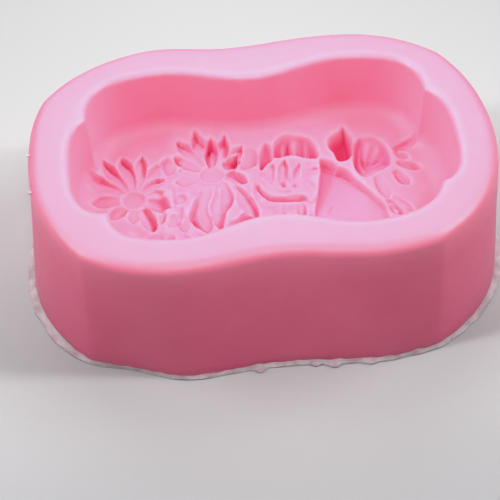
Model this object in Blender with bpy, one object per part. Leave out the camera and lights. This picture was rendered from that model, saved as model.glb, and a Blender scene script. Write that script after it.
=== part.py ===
"""Silicone soap mould with a waisted oval outline and a flower relief.

The real mould is one casting.  It is modelled here as the zones that a person
would name on it: a base slab, four wall panels that meet at the creases of the
cavity, eight floor panels that each hold one motif of the relief, and the thin
flash that the casting leaves round its base.

Units are metres, +Z is up.  The origin is under the middle of the base, X runs
along the mould and the cavity opens upwards.
"""
import math

import bmesh
import bpy

MM = 0.001

# Driving dimensions
RIM_LENGTH = 96 * MM            # outside, at the rim
HEIGHT = 32 * MM
BASE_FLARE = 2.2 * MM           # how far the base stands out past the rim, each side
CAVITY_DEPTH = 15.5 * MM        # from the rim down to the smooth floor
BASE_TOP = 6 * MM               # top of the slab below the relief
GAP = 0.3 * MM                  # between zones of the casting

# Outside outline: radius = mean * (1 + sum of harmonic * cos(k * angle))
OUTLINE_HARMONICS = {2: 0.22, 4: -0.045, 6: -0.005}

# Cavity mouth: a waisted plaque with a round lobe added at each end
PLAQUE_HALF_LENGTH = 35.5 * MM
PLAQUE_HALF_WIDTH = 24.2 * MM
PLAQUE_WAIST = 4.2 * MM         # how much narrower each side is at the middle
PLAQUE_LOBE_X = 20 * MM         # where the plaque is widest
PLAQUE_SQUARENESS = 5
LOBE_CENTRE_X = 32.5 * MM
LOBE_HALF_LENGTH = 7.2 * MM
LOBE_HALF_WIDTH = 12.6 * MM
LOBE_SQUARENESS = 2.6

# Edges and draft
RIM_EDGE_RADIUS = 2.2 * MM      # outside edge of the rim
LIP_RADIUS = 1.3 * MM           # inside edge of the rim
CAVITY_DRAFT = 0.6 * MM         # how far the cavity narrows down to its floor
FLOOR_FILLET = 4 * MM
LONG_PANEL_SEGMENTS = 24
END_PANEL_SEGMENTS = 10

# Flash
FLASH_THICKNESS = 0.45 * MM
FLASH_LIFT = 0.1 * MM
FLASH_MEAN = 0.75 * MM          # how far it stands out, on average
FLASH_WAVES = {9: 0.16, 17: 0.14, 31: 0.12}     # share of the mean, by waves per turn

FLOOR_TOP = HEIGHT - CAVITY_DEPTH
FLOOR_INSET = CAVITY_DRAFT + FLOOR_FILLET
RECESS_OVERSHOOT = 1 * MM       # how far a recess cutter stands above the floor

SILICONE = ("silicone_pink", (0.86, 0.36, 0.50, 1.0), 0.55)
FLASH = ("silicone_flash", (0.80, 0.66, 0.72, 1.0), 0.60)


# ---------------------------------------------------------------- outlines

def outside_radius(angle):
    """Radius of the outside outline at the rim, by angle from +X."""
    mean = RIM_LENGTH / 2 / (1 + sum(OUTLINE_HARMONICS.values()))
    return mean * (1 + sum(a * math.cos(k * angle) for k, a in OUTLINE_HARMONICS.items()))


def plaque_radius(angle):
    """Distance from the middle to the edge of the waisted plaque."""
    low, high = 0.0, PLAQUE_HALF_LENGTH * 2
    for _ in range(40):
        radius = (low + high) / 2
        x, y = abs(radius * math.cos(angle)), abs(radius * math.sin(angle))
        waist = math.cos(math.pi / 2 * min(x / PLAQUE_LOBE_X, 1)) ** 2
        half_width = PLAQUE_HALF_WIDTH - PLAQUE_WAIST * waist
        power = PLAQUE_SQUARENESS
        inside = (x / PLAQUE_HALF_LENGTH) ** power + (y / half_width) ** power < 1
        low, high = (radius, high) if inside else (low, radius)
    return low


def lobe_radius(angle):
    """Distance to the far side of a boxy end lobe, or 0 where the ray misses its middle."""
    def inside(radius):
        along = abs(radius * abs(math.cos(angle)) - LOBE_CENTRE_X) / LOBE_HALF_LENGTH
        across = abs(radius * math.sin(angle)) / LOBE_HALF_WIDTH
        return along ** LOBE_SQUARENESS + across ** LOBE_SQUARENESS < 1

    low, high = LOBE_CENTRE_X * abs(math.cos(angle)), PLAQUE_HALF_LENGTH * 2
    if not inside(low):
        return 0.0
    for _ in range(40):
        radius = (low + high) / 2
        low, high = (radius, high) if inside(radius) else (low, radius)
    return low


def cavity_radius(angle):
    return max(plaque_radius(angle), lobe_radius(angle))


def crease_angle():
    """Angle of the crease where an end lobe leaves the plaque."""
    low, high = 0.0, math.pi / 3
    for _ in range(40):
        angle = (low + high) / 2
        in_lobe = lobe_radius(angle) > plaque_radius(angle)
        low, high = (angle, high) if in_lobe else (low, angle)
    return low


def panel_angles():
    """The four wall panels' angles, each stopping half a gap short of its creases."""
    crease = crease_angle()
    slack = GAP / 2 / cavity_radius(crease)
    corners = [-crease, crease, math.pi - crease, math.pi + crease, 2 * math.pi - crease]
    panels = []
    for index, segments in enumerate([END_PANEL_SEGMENTS, LONG_PANEL_SEGMENTS] * 2):
        start, end = corners[index] + slack, corners[index + 1] - slack
        panels.append([start + (end - start) * i / segments for i in range(segments + 1)])
    return panels


def offset(points, distance):
    """One panel's run of an outline moved outwards, its two ends kept in their radial planes."""
    moved = []
    last = len(points) - 1
    for index, (x, y) in enumerate(points):
        before, after = points[max(index - 1, 0)], points[min(index + 1, last)]
        run_x, run_y = after[0] - before[0], after[1] - before[1]
        length = math.hypot(run_x, run_y)
        out_x, out_y = distance * run_y / length, -distance * run_x / length
        if index in (0, last):
            slide = (y * out_x - x * out_y) / (x * run_y - y * run_x)
            out_x, out_y = out_x + slide * run_x, out_y + slide * run_y
        moved.append((x + out_x, y + out_y))
    return moved


def outline(radius, distance):
    """The whole outline at a distance outwards, as one run of points per wall panel."""
    return [offset([(radius(a) * math.cos(a), radius(a) * math.sin(a)) for a in angles], distance)
            for angles in panel_angles()]


def joined(panels):
    return [point for panel in panels for point in panel]


def shrink(corners, distance):
    """A closed anticlockwise polygon with every side moved inwards by a distance."""
    result = []
    for index, (x, y) in enumerate(corners):
        sides = []
        for ax, ay, bx, by in ((*corners[index - 1], x, y),
                               (x, y, *corners[(index + 1) % len(corners)])):
            length = math.hypot(bx - ax, by - ay)
            normal = (-(by - ay) / length, (bx - ax) / length)
            sides.append((*normal, normal[0] * x + normal[1] * y + distance))
        (a, b, c), (d, e, f) = sides
        scale = a * e - b * d
        result.append(((c * e - b * f) / scale, (a * f - c * d) / scale))
    return result


def flare(z):
    return BASE_FLARE * (1 - z / HEIGHT)


# ------------------------------------------------------------------ meshes

def loft(bm, sections, closed):
    """Join equal rings of points.  A closed loft meets its own first section."""
    rings = [[bm.verts.new(point) for point in ring] for ring in sections]
    steps = len(rings) if closed else len(rings) - 1
    for index in range(steps):
        ring, following = rings[index], rings[(index + 1) % len(rings)]
        for i in range(len(ring)):
            j = (i + 1) % len(ring)
            bm.faces.new((ring[i], ring[j], following[j], following[i]))
    if not closed:
        bm.faces.new(reversed(rings[0]))
        bm.faces.new(rings[-1])


def new_object(name, bm, look, helper=False):
    bmesh.ops.recalc_face_normals(bm, faces=bm.faces)
    mesh = bpy.data.meshes.new(name)
    bm.to_mesh(mesh)
    bm.free()
    mesh.shade_smooth()
    mesh.set_sharp_from_angle(angle=math.radians(40))
    thing = bpy.data.objects.new(name, mesh)
    bpy.context.scene.collection.objects.link(thing)
    if helper:
        thing.hide_render = True
        thing.display_type = 'WIRE'
    else:
        mesh.materials.append(material(*look))
    return thing


def material(name, colour, roughness):
    found = bpy.data.materials.get(name)
    if found:
        return found
    made = bpy.data.materials.new(name)
    made.use_nodes = True
    shader = made.node_tree.nodes["Principled BSDF"]
    shader.inputs["Base Color"].default_value = colour
    shader.inputs["Roughness"].default_value = roughness
    shader.inputs["Metallic"].default_value = 0.0
    return made


def prism(bm, points, low, high):
    loft(bm, [[(x, y, low) for x, y in points], [(x, y, high) for x, y in points]], False)


def cut(target, cutter, operation):
    boolean = target.modifiers.new(operation.lower(), 'BOOLEAN')
    boolean.operation = operation
    boolean.object = cutter
    boolean.solver = 'EXACT'
    boolean.use_self = operation == 'DIFFERENCE'


# ---------------------------------------------------------------- the body

def wall_profile():
    """The wall's section, from its outside foot over the rim to its inside foot.

    Each entry is (radius by angle, offset outwards, height).
    """
    corner = math.sqrt(0.5)
    turn = 1 - corner
    draft_top = FLOOR_TOP + FLOOR_FILLET
    return [
        (outside_radius, flare(BASE_TOP + GAP), BASE_TOP + GAP),
        (outside_radius, flare(HEIGHT - RIM_EDGE_RADIUS), HEIGHT - RIM_EDGE_RADIUS),
        (outside_radius, -RIM_EDGE_RADIUS * turn, HEIGHT - RIM_EDGE_RADIUS * turn),
        (outside_radius, -RIM_EDGE_RADIUS, HEIGHT),
        (cavity_radius, LIP_RADIUS, HEIGHT),
        (cavity_radius, LIP_RADIUS * turn, HEIGHT - LIP_RADIUS * turn),
        (cavity_radius, 0.0, HEIGHT - LIP_RADIUS),
        (cavity_radius, -CAVITY_DRAFT, draft_top),
        (cavity_radius, -CAVITY_DRAFT - FLOOR_FILLET * turn, draft_top - FLOOR_FILLET * corner),
        (cavity_radius, -FLOOR_INSET, FLOOR_TOP),
        (cavity_radius, -FLOOR_INSET, BASE_TOP + GAP),
    ]


def build_walls():
    levels = [(outline(radius, distance), z) for radius, distance, z in wall_profile()]
    for index, name in enumerate(("wall_right", "wall_back", "wall_left", "wall_front")):
        columns = range(len(panel_angles()[index]))
        sections = [[(*panels[index][i], z) for panels, z in levels] for i in columns]
        bm = bmesh.new()
        loft(bm, sections, False)
        new_object(name, bm, SILICONE)


def build_base_slab():
    sections = [[(*point, z) for point in joined(outline(outside_radius, flare(z)))]
                for z in (0.0, BASE_TOP)]
    bm = bmesh.new()
    loft(bm, sections, False)
    new_object("base_slab", bm, SILICONE)


def build_flash():
    """A thin ragged skirt round the foot of the base, a gap away from the slab."""
    inner = joined(outline(outside_radius, BASE_FLARE + GAP))
    outer = []
    for x, y in inner:
        angle = math.atan2(y, x)
        ragged = sum(a * math.cos(k * 2 * angle) for k, a in FLASH_WAVES.items())
        grow = 1 + FLASH_MEAN * (1 + ragged) / math.hypot(x, y)
        outer.append((x * grow, y * grow))
    low, high = FLASH_LIFT, FLASH_LIFT + FLASH_THICKNESS
    sections = [[(*a, low), (*b, low), (*b, high), (*a, high)] for a, b in zip(inner, outer)]
    bm = bmesh.new()
    loft(bm, sections, True)
    new_object("base_flash", bm, FLASH)


# --------------------------------------------------------------- the relief

def groove(bm, start, end, width, depth, bow=0.0, stations=5):
    """A pointed furrow from start to end, deepest near its end.

    bow moves its middle sideways, to the left of its run.
    """
    run_x, run_y = end[0] - start[0], end[1] - start[1]
    length = math.hypot(run_x, run_y)
    side_x, side_y = -run_y / length, run_x / length
    top = FLOOR_TOP + RECESS_OVERSHOOT
    sections = []
    for i in range(stations + 1):
        share = i / stations
        swell = math.sin(math.pi * (0.06 + 0.88 * share))
        aside = bow * 4 * share * (1 - share)
        x, y = start[0] + run_x * share + side_x * aside, start[1] + run_y * share + side_y * aside
        half = width / 2 * swell ** 0.7
        drop = depth * (0.35 + 0.65 * share) * swell ** 0.4
        sections.append([(x - side_x * half, y - side_y * half, top),
                         (x - side_x * half * 0.8, y - side_y * half * 0.8, FLOOR_TOP - drop * 0.5),
                         (x, y, FLOOR_TOP - drop),
                         (x + side_x * half * 0.8, y + side_y * half * 0.8, FLOOR_TOP - drop * 0.5),
                         (x + side_x * half, y + side_y * half, top)])
    loft(bm, sections, False)


def dish(bm, centre, size, depth, segments=16):
    """A round or oval hollow with a curved bottom."""
    sections = []
    for level, share in ((FLOOR_TOP + RECESS_OVERSHOOT, 1.0), (FLOOR_TOP, 1.0),
                         (FLOOR_TOP - depth * 0.7, 0.8), (FLOOR_TOP - depth, 0.4)):
        sections.append([(centre[0] + size[0] / 2 * share * math.cos(2 * math.pi * i / segments),
                          centre[1] + size[1] / 2 * share * math.sin(2 * math.pi * i / segments),
                          level) for i in range(segments)])
    loft(bm, sections, False)


def polar(centre, angle_deg, distance):
    angle = math.radians(angle_deg)
    return centre[0] + distance * math.cos(angle), centre[1] + distance * math.sin(angle)


def daisy(bm, centre, disc, petals):
    """A disc with a petal furrow for each (angle, length, width, depth) round it."""
    dish(bm, centre, (disc, disc), 1.0 * MM)
    for angle, length, width, depth in petals:
        groove(bm, polar(centre, angle, disc * 0.62), polar(centre, angle, length * MM),
               width * MM, depth * MM)


def daisy_left(bm):
    daisy(bm, (-27.4 * MM, 2.0 * MM), 4.8 * MM, [
        (98, 12.4, 2.5, 3.4), (117, 13.0, 2.4, 3.2), (76, 12.6, 2.3, 2.6), (40, 9.0, 2.6, 1.8),
        (345, 7.6, 3.2, 4.2), (292, 9.6, 2.8, 2.6), (262, 6.4, 2.2, 1.6), (222, 6.6, 2.4, 2.2),
        (188, 7.0, 2.6, 1.8), (153, 10.4, 2.6, 2.6)])


def daisy_centre(bm):
    daisy(bm, (-10.3 * MM, 7.4 * MM), 4.9 * MM, [
        (93, 11.2, 2.6, 5.0), (111, 13.2, 2.3, 3.6), (137, 12.0, 2.2, 2.6), (155, 8.3, 2.2, 2.4),
        (71, 11.4, 2.2, 3.6), (38, 7.4, 3.2, 5.2), (339, 7.2, 2.4, 3.0), (297, 9.6, 2.6, 2.4),
        (270, 16.0, 2.8, 2.4), (250, 14.0, 3.2, 2.6), (190, 7.6, 2.6, 1.6)])


def carnation(bm):
    """A fan of overlapping frilled petals."""
    foot = (7.2 * MM, 4.5 * MM)
    for angle, depth in ((128, 2.6), (110, 3.4), (93, 5.2), (76, 4.2), (60, 3.4)):
        groove(bm, polar(foot, angle, 6.0 * MM), polar(foot, angle, 12.2 * MM), 3.0 * MM, depth * MM)


def rose(bm):
    """A folded flower: three folds in the middle and petals wrapped round it."""
    for x, low, high, depth in ((4.5, 1.5, 8.2, 1.6), (7.1, 0.8, 7.0, 1.4), (1.8, 2.0, 7.4, 1.0)):
        groove(bm, (x * MM, high * MM), (x * MM, low * MM), 1.4 * MM, depth * MM)
    groove(bm, (-0.8 * MM, 2.6 * MM), (9.6 * MM, -1.6 * MM), 1.8 * MM, 2.2 * MM, bow=-2.4 * MM)
    groove(bm, (8.6 * MM, 8.8 * MM), (11.0 * MM, 1.0 * MM), 1.4 * MM, 1.4 * MM, bow=0.8 * MM)
    for x, y in ((0.6, -11.0), (4.2, -12.4), (7.6, -11.2)):
        groove(bm, (4.4 * MM, -4.0 * MM), (x * MM, y * MM), 2.8 * MM, 2.2 * MM)


def bud(bm):
    groove(bm, (18.0 * MM, 8.4 * MM), (19.2 * MM, 17.6 * MM), 4.4 * MM, 6.4 * MM)


def blossom(bm):
    centre = (25.0 * MM, 8.6 * MM)
    dish(bm, centre, (6.6 * MM, 10.6 * MM), 3.2 * MM)
    for angle in (75, 45, 15, -15, -45):
        groove(bm, polar(centre, angle, 0.8 * MM), polar(centre, angle, 3.3 * MM), 1.3 * MM, 3.8 * MM,
               stations=4)


def basin(bm):
    """A smooth basin, deepest along its upper edge, that runs out towards the front."""
    corners = [(10.8, -3.0), (14.0, -14.0), (22.0, -14.5), (25.4, -9.0), (21.8, -1.2), (18.0, 4.8),
               (14.6, 7.0)]
    deep = [1.2, 0.6, 0.8, 2.4, 3.4, 4.2, 3.8]
    top = [(x * MM, y * MM, FLOOR_TOP + RECESS_OVERSHOOT) for x, y in corners]
    edge = [(x * MM, y * MM, FLOOR_TOP - d * 0.4 * MM) for (x, y), d in zip(corners, deep)]
    pulled = shrink([(x * MM, y * MM) for x, y in corners], 1.2 * MM)
    bottom = [(x, y, FLOOR_TOP - d * MM) for (x, y), d in zip(pulled, deep)]
    loft(bm, [top, edge, bottom], False)


def sprig(bm):
    petals = (((30.2, 10.4), (34.2, 11.6), 1.8, 1.8), ((30.4, 9.0), (32.4, 7.2), 1.4, 1.2),
              ((30.4, 5.4), (33.8, 3.8), 1.6, 2.2), ((29.6, 3.0), (31.2, -0.6), 1.6, 1.6))
    for start, end, width, depth in petals:
        groove(bm, [v * MM for v in start], [v * MM for v in end], width * MM, depth * MM, stations=4)


# Each floor panel's corners in plan, in millimetres, anticlockwise, and its motif
FLOOR_PANELS = {
    "relief_daisy_left": ([(-50, -30), (-18.9, -30), (-18.9, 30), (-50, 30)], daisy_left),
    "relief_daisy_centre": ([(-18.9, -30), (-2.4, -30), (-2.4, 30), (-18.9, 30)], daisy_centre),
    "relief_carnation": ([(-2.4, 9.9), (14.4, 9.9), (14.4, 30), (-2.4, 30)], carnation),
    "relief_rose": ([(-2.4, -30), (9.0, -30), (13.6, 7.6), (14.4, 9.9), (-2.4, 9.9)], rose),
    "relief_bud": ([(13.6, 7.6), (20.6, 7.6), (21.4, 30), (14.4, 30), (14.4, 9.9)], bud),
    "relief_basin": ([(9.0, -30), (28.9, -30), (28.9, -12.0), (19.2, 7.6), (13.6, 7.6)], basin),
    "relief_blossom": ([(28.9, -12.0), (28.9, 30), (21.4, 30), (20.6, 7.6), (19.2, 7.6)], blossom),
    "relief_sprig": ([(28.9, -30), (50, -30), (50, 30), (28.9, 30)], sprig),
}


def build_floor():
    edge = joined(outline(cavity_radius, -FLOOR_INSET - GAP))
    bm = bmesh.new()
    prism(bm, edge, 0.0, HEIGHT)
    floor_outline = new_object("floor_outline", bm, None, helper=True)
    for name, (corners, motif) in FLOOR_PANELS.items():
        plan = shrink([(x * MM, y * MM) for x, y in corners], GAP / 2)
        panel = bmesh.new()
        prism(panel, plan, BASE_TOP + GAP, FLOOR_TOP)
        node = new_object(name, panel, SILICONE)
        recess = bmesh.new()
        motif(recess)
        cutter = new_object(name + "_cutter", recess, None, helper=True)
        cut(node, floor_outline, 'INTERSECT')
        cut(node, cutter, 'DIFFERENCE')


def main():
    for thing in list(bpy.data.objects):
        bpy.data.objects.remove(thing)
    build_base_slab()
    build_walls()
    build_floor()
    build_flash()


main()
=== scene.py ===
"""Looks of the silicone soap mould: one continuous casting skin with its flower
relief, the torn flash round its foot, the light, the floor and the camera.

The casting is a single closed mesh.  A grid covers the cavity floor, and every
further surface (fillet, cavity wall, lip, rim, outside wall, base) is a ring
of points that starts from the border of that grid.  Plan positions of the
relief are in millimetres in the frame's own X and Y.
"""
import math

import bpy
import numpy as np
from mathutils import Matrix, Vector


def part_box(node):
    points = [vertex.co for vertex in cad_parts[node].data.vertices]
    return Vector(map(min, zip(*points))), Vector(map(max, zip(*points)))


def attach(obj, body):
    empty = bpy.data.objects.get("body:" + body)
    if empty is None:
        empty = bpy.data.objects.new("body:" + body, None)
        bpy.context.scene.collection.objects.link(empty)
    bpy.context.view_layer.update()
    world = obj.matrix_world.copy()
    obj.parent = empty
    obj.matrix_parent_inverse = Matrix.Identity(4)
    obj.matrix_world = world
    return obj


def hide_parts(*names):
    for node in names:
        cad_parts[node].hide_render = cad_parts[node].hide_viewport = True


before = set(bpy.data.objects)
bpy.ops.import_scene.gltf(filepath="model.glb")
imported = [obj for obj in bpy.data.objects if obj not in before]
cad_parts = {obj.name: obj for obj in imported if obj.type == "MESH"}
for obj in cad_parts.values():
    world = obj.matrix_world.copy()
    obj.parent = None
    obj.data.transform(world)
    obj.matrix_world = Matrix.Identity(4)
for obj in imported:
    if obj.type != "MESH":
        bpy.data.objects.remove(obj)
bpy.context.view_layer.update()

MM = 0.001

# The casting's main sizes in millimetres, the same as the CAD model's
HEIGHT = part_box("wall_front")[1].z / MM
FLOOR_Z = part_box("relief_rose")[1].z / MM
RIM_LENGTH = 96.0
BASE_FLARE = 2.2
OUTLINE_HARMONICS = {2: 0.22, 4: -0.045, 6: -0.005}
PLAQUE_HALF_LENGTH = 35.5
PLAQUE_HALF_WIDTH = 24.2
PLAQUE_WAIST = 4.2
PLAQUE_LOBE_X = 20.0
PLAQUE_SQUARENESS = 5
LOBE_CENTRE_X = 32.5
LOBE_HALF_LENGTH = 7.2
LOBE_HALF_WIDTH = 12.6
LOBE_SQUARENESS = 2.6
RIM_EDGE_RADIUS = 2.2
LIP_RADIUS = 1.3
CAVITY_DRAFT = 0.6
FLOOR_FILLET = 4.0

# Where the visible casting is less regular than the CAD model
PLAQUE_TAPER = 0.0012           # the cavity is a little longer at the back, per millimetre of y
LOBE_SHIFT = -1.5               # the end lobes sit a little to the front
LOBE_WIDENING = 1.2             # and are wider, each side

# Swellings and corners of its outlines: direction in degrees, half-width in degrees, height
FRONT_LEFT_PINCH = (205, 7, -1.6)
RIM_SWELLINGS = [(80, 24, 1.3), (120, 10, 0.7), (160, 12, 0.5)]
FOOT_SWELLINGS = [(226, 10, -2.0), (272, 14, 0.7), (190, 12, 0.5)]
CORNERS = [(157, 7, 0.9), (30, 8, 0.8), (215, 6, 0.9), (316.5, 6, 0.8)]

# Colours of the silicone, linear
SILICONE_DARK = (0.77, 0.135, 0.245)
SILICONE_LIGHT = (0.81, 0.160, 0.275)
# Painted light: a lighter colour on the cavity's surface and near the top of the outside wall, standing in
# for bounce light in the cavity and light from above
SILICONE_PAINTED_LIGHT = (0.80, 0.230, 0.358)
# Painted light: a lighter colour for the ridges of the relief
SILICONE_PAINTED_RIDGE_LIGHT = (0.83, 0.320, 0.430)
# Painted shade: darker and redder colour for the deep and narrow recesses of the relief
SILICONE_PAINTED_SHADE = (0.78, 0.072, 0.215)

# Where the silicone's gloss changes, and how much painted shade and painted light its colour gets
GLOSS_FROM = 24 * MM            # height up to which it is as dull as inside the cavity
GLOSS_TO = 31.5 * MM            # height from which it is as glossy as the rim
GLOSS_INSIDE = 0.20
GLOSS_RIM = 0.85
CREVICE_PAINTED_SHADE = 0.35             # how much painted shade a narrow recess gets, as if it were deep
RIDGE_PAINTED_LIGHT = 0.4                # how much painted light a ridge gets
FLOOR_PAINTED_LIGHT = 0.72             # share of the cavity walls' painted light on the floor, which gets less of it

# The mesh
FLOOR_CELL = 0.25               # spacing of the floor grid
GRID_TURN = math.radians(45)    # how far up the floor's fillet the grid reaches
CREASE_SOFTNESS = 0.2           # rounding of the cavity's creases
OUTLINE_SAMPLES = 1200
LOBE_SAMPLES = 600
FILLET_END = math.radians(84)   # where the rings up the fillet stop, just short of the wall
FILLET_RINGS = 7
WALL_RINGS = 8                  # up the cavity's wall
OUTSIDE_RINGS = 11              # down the outside
FOOT_EDGE = 0.5                 # height at which the outside wall turns in under itself
RELIEF_TOP = 3.4                # how far above the floor the relief reaches up the fillet
RELIEF_FADE = 2.6               # and over what height it fades out there
INNER_HALF_LENGTH = 31.0        # the part of the floor grid that stays straight
INNER_HALF_WIDTH = 16.5

# The camera, in the frame
CAMERA_ELEVATION = 48.05
CAMERA_AZIMUTH = -4.70
CAMERA_ROLL = -2.05
CAMERA_DISTANCE = 290.5
CAMERA_TARGET = (-5.73, -29.32, HEIGHT)
CAMERA_LENS = 109.07


# ---------------------------------------------------------------- outlines

def turn_from(angle, degrees):
    """How far, in degrees, a direction is from a given one."""
    return np.abs((np.degrees(angle) - degrees + 180) % 360 - 180)


def outside_radius(angle):
    """Radius of the outside outline at the rim, by angle from +X."""
    mean = RIM_LENGTH / 2 / (1 + sum(OUTLINE_HARMONICS.values()))
    radius = mean * (1 + sum(a * np.cos(k * angle) for k, a in OUTLINE_HARMONICS.items()))
    for degrees, width, height in RIM_SWELLINGS:
        radius = radius + height * np.exp(-(turn_from(angle, degrees) / width) ** 2)
    for degrees, width, height in CORNERS:
        radius = radius + height * np.exp(-np.hypot(turn_from(angle, degrees), 0.8) / width)
    return radius


def foot_shift(angle):
    """How much further out than its plain flare the foot of the outside wall is."""
    return sum(height * np.exp(-(turn_from(angle, degrees) / width) ** 2)
               for degrees, width, height in FOOT_SWELLINGS)


def plaque_radius(angle):
    """Distance from the middle to the edge of the waisted plaque."""
    low, high = np.zeros_like(angle), np.full_like(angle, PLAQUE_HALF_LENGTH * 2)
    for _ in range(40):
        radius = (low + high) / 2
        y = radius * np.sin(angle)
        x, y = np.abs(radius * np.cos(angle)) / (1 + PLAQUE_TAPER * y), np.abs(y)
        waist = np.cos(math.pi / 2 * np.minimum(x / PLAQUE_LOBE_X, 1)) ** 2
        half_width = PLAQUE_HALF_WIDTH - PLAQUE_WAIST * waist
        inside = (x / PLAQUE_HALF_LENGTH) ** PLAQUE_SQUARENESS + (y / half_width) ** PLAQUE_SQUARENESS < 1
        low, high = np.where(inside, radius, low), np.where(inside, high, radius)
    direction, half_width, height = FRONT_LEFT_PINCH
    return low + height * np.exp(-(turn_from(angle, direction) / half_width) ** 2)


def lobe_radius(angle):
    """Distance to the far side of a boxy end lobe, or 0 where the ray misses it."""
    sample = np.linspace(0, PLAQUE_HALF_LENGTH * 1.3, LOBE_SAMPLES)[:, None]
    x, y = np.abs(np.cos(angle)) * sample - LOBE_CENTRE_X, np.abs(np.sin(angle) * sample - LOBE_SHIFT)
    along, across = np.abs(x) / LOBE_HALF_LENGTH, y / (LOBE_HALF_WIDTH + LOBE_WIDENING)
    value = along ** LOBE_SQUARENESS + across ** LOBE_SQUARENESS
    inside = value < 1
    last = len(sample) - 1 - np.argmax(inside[::-1], 0)
    here = np.take_along_axis(value, last[None], 0)[0]
    after = np.take_along_axis(value, np.minimum(last + 1, len(sample) - 1)[None], 0)[0]
    reach = sample[last, 0] + (1 - here) / np.maximum(after - here, 1e-6) * sample[1, 0]
    return np.where(inside.any(0), reach, 0.0)


def soft_max(a, b, softness):
    """The larger of two values, rounded over where they are within softness."""
    blend = np.clip(0.5 + (a - b) / (2 * softness), 0, 1)
    return b + (a - b) * blend + softness * blend * (1 - blend)


def cavity_radius(angle):
    return soft_max(plaque_radius(angle), lobe_radius(angle), CREASE_SOFTNESS)


class Outline:
    """A closed plan outline that can be asked for its offsets along given directions."""

    def __init__(self, radius):
        angle = np.linspace(0, 2 * math.pi, OUTLINE_SAMPLES, endpoint=False)
        reach = radius(angle)
        self.start = np.stack([reach * np.cos(angle), reach * np.sin(angle)], -1)
        self.run = np.roll(self.start, -1, 0) - self.start
        self.length2 = (self.run ** 2).sum(-1)
        self.radius = radius

    def distance(self, points):
        """Signed distance, positive outside."""
        best = np.full(len(points), np.inf)
        for first in range(0, len(points), 400):
            block = points[first:first + 400]
            rel = block[:, None, :] - self.start[None]
            along = np.clip((rel * self.run[None]).sum(-1) / self.length2, 0, 1)
            gap = rel - along[..., None] * self.run[None]
            best[first:first + 400] = np.sqrt((gap ** 2).sum(-1)).min(1)
        angle = np.arctan2(points[:, 1], points[:, 0])
        outside = np.hypot(points[:, 0], points[:, 1]) > self.radius(angle)
        return np.where(outside, best, -best)

    def offset(self, angle, distance):
        """Points at that signed distance, one on each direction from the middle."""
        direction = np.stack([np.cos(angle), np.sin(angle)], -1)
        reach = self.radius(angle) + distance
        if distance:
            for _ in range(5):
                reach = reach + distance - self.distance(direction * reach[:, None])
        return direction * reach[:, None]


# --------------------------------------------------------------- the relief

def waviness(points, seed, size, height, waves=14):
    """Slight unevenness of a hand-poured casting, from a few crossed waves."""
    random = np.random.default_rng(seed)
    total = np.zeros(len(points))
    for _ in range(waves):
        direction = random.normal(size=3)
        direction *= 2 * math.pi / (size * random.uniform(0.6, 1.8) * np.linalg.norm(direction))
        total += np.sin(points @ direction + random.uniform(0, 2 * math.pi))
    return total * height / math.sqrt(waves)


def smoothstep(x):
    x = np.clip(x, 0, 1)
    return x * x * (3 - 2 * x)


def spline(points, closed=True, per_span=5):
    """A Catmull-Rom curve through a few points, as a dense run of points."""
    points = np.array(points, float)
    count = len(points)
    spans = count if closed else count - 1
    t = np.arange(per_span)[:, None] / per_span
    result = []
    for i in range(spans):
        near = [i - 1, i, i + 1, i + 2]
        a, b, c, d = points[np.mod(near, count) if closed else np.clip(near, 0, count - 1)]
        result.append(0.5 * (2 * b + (c - a) * t + (2 * a - 5 * b + 4 * c - d) * t ** 2
                             + (3 * b - a - 3 * c + d) * t ** 3))
    if not closed:
        result.append(points[-1:])
    return np.concatenate(result)


# Every petal: its share of width at the root, where along it is widest, its share of depth at the root
PETAL_ROOT = 0.45
PETAL_BROAD = 0.6
PETAL_SHALLOW = 0.25


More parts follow.
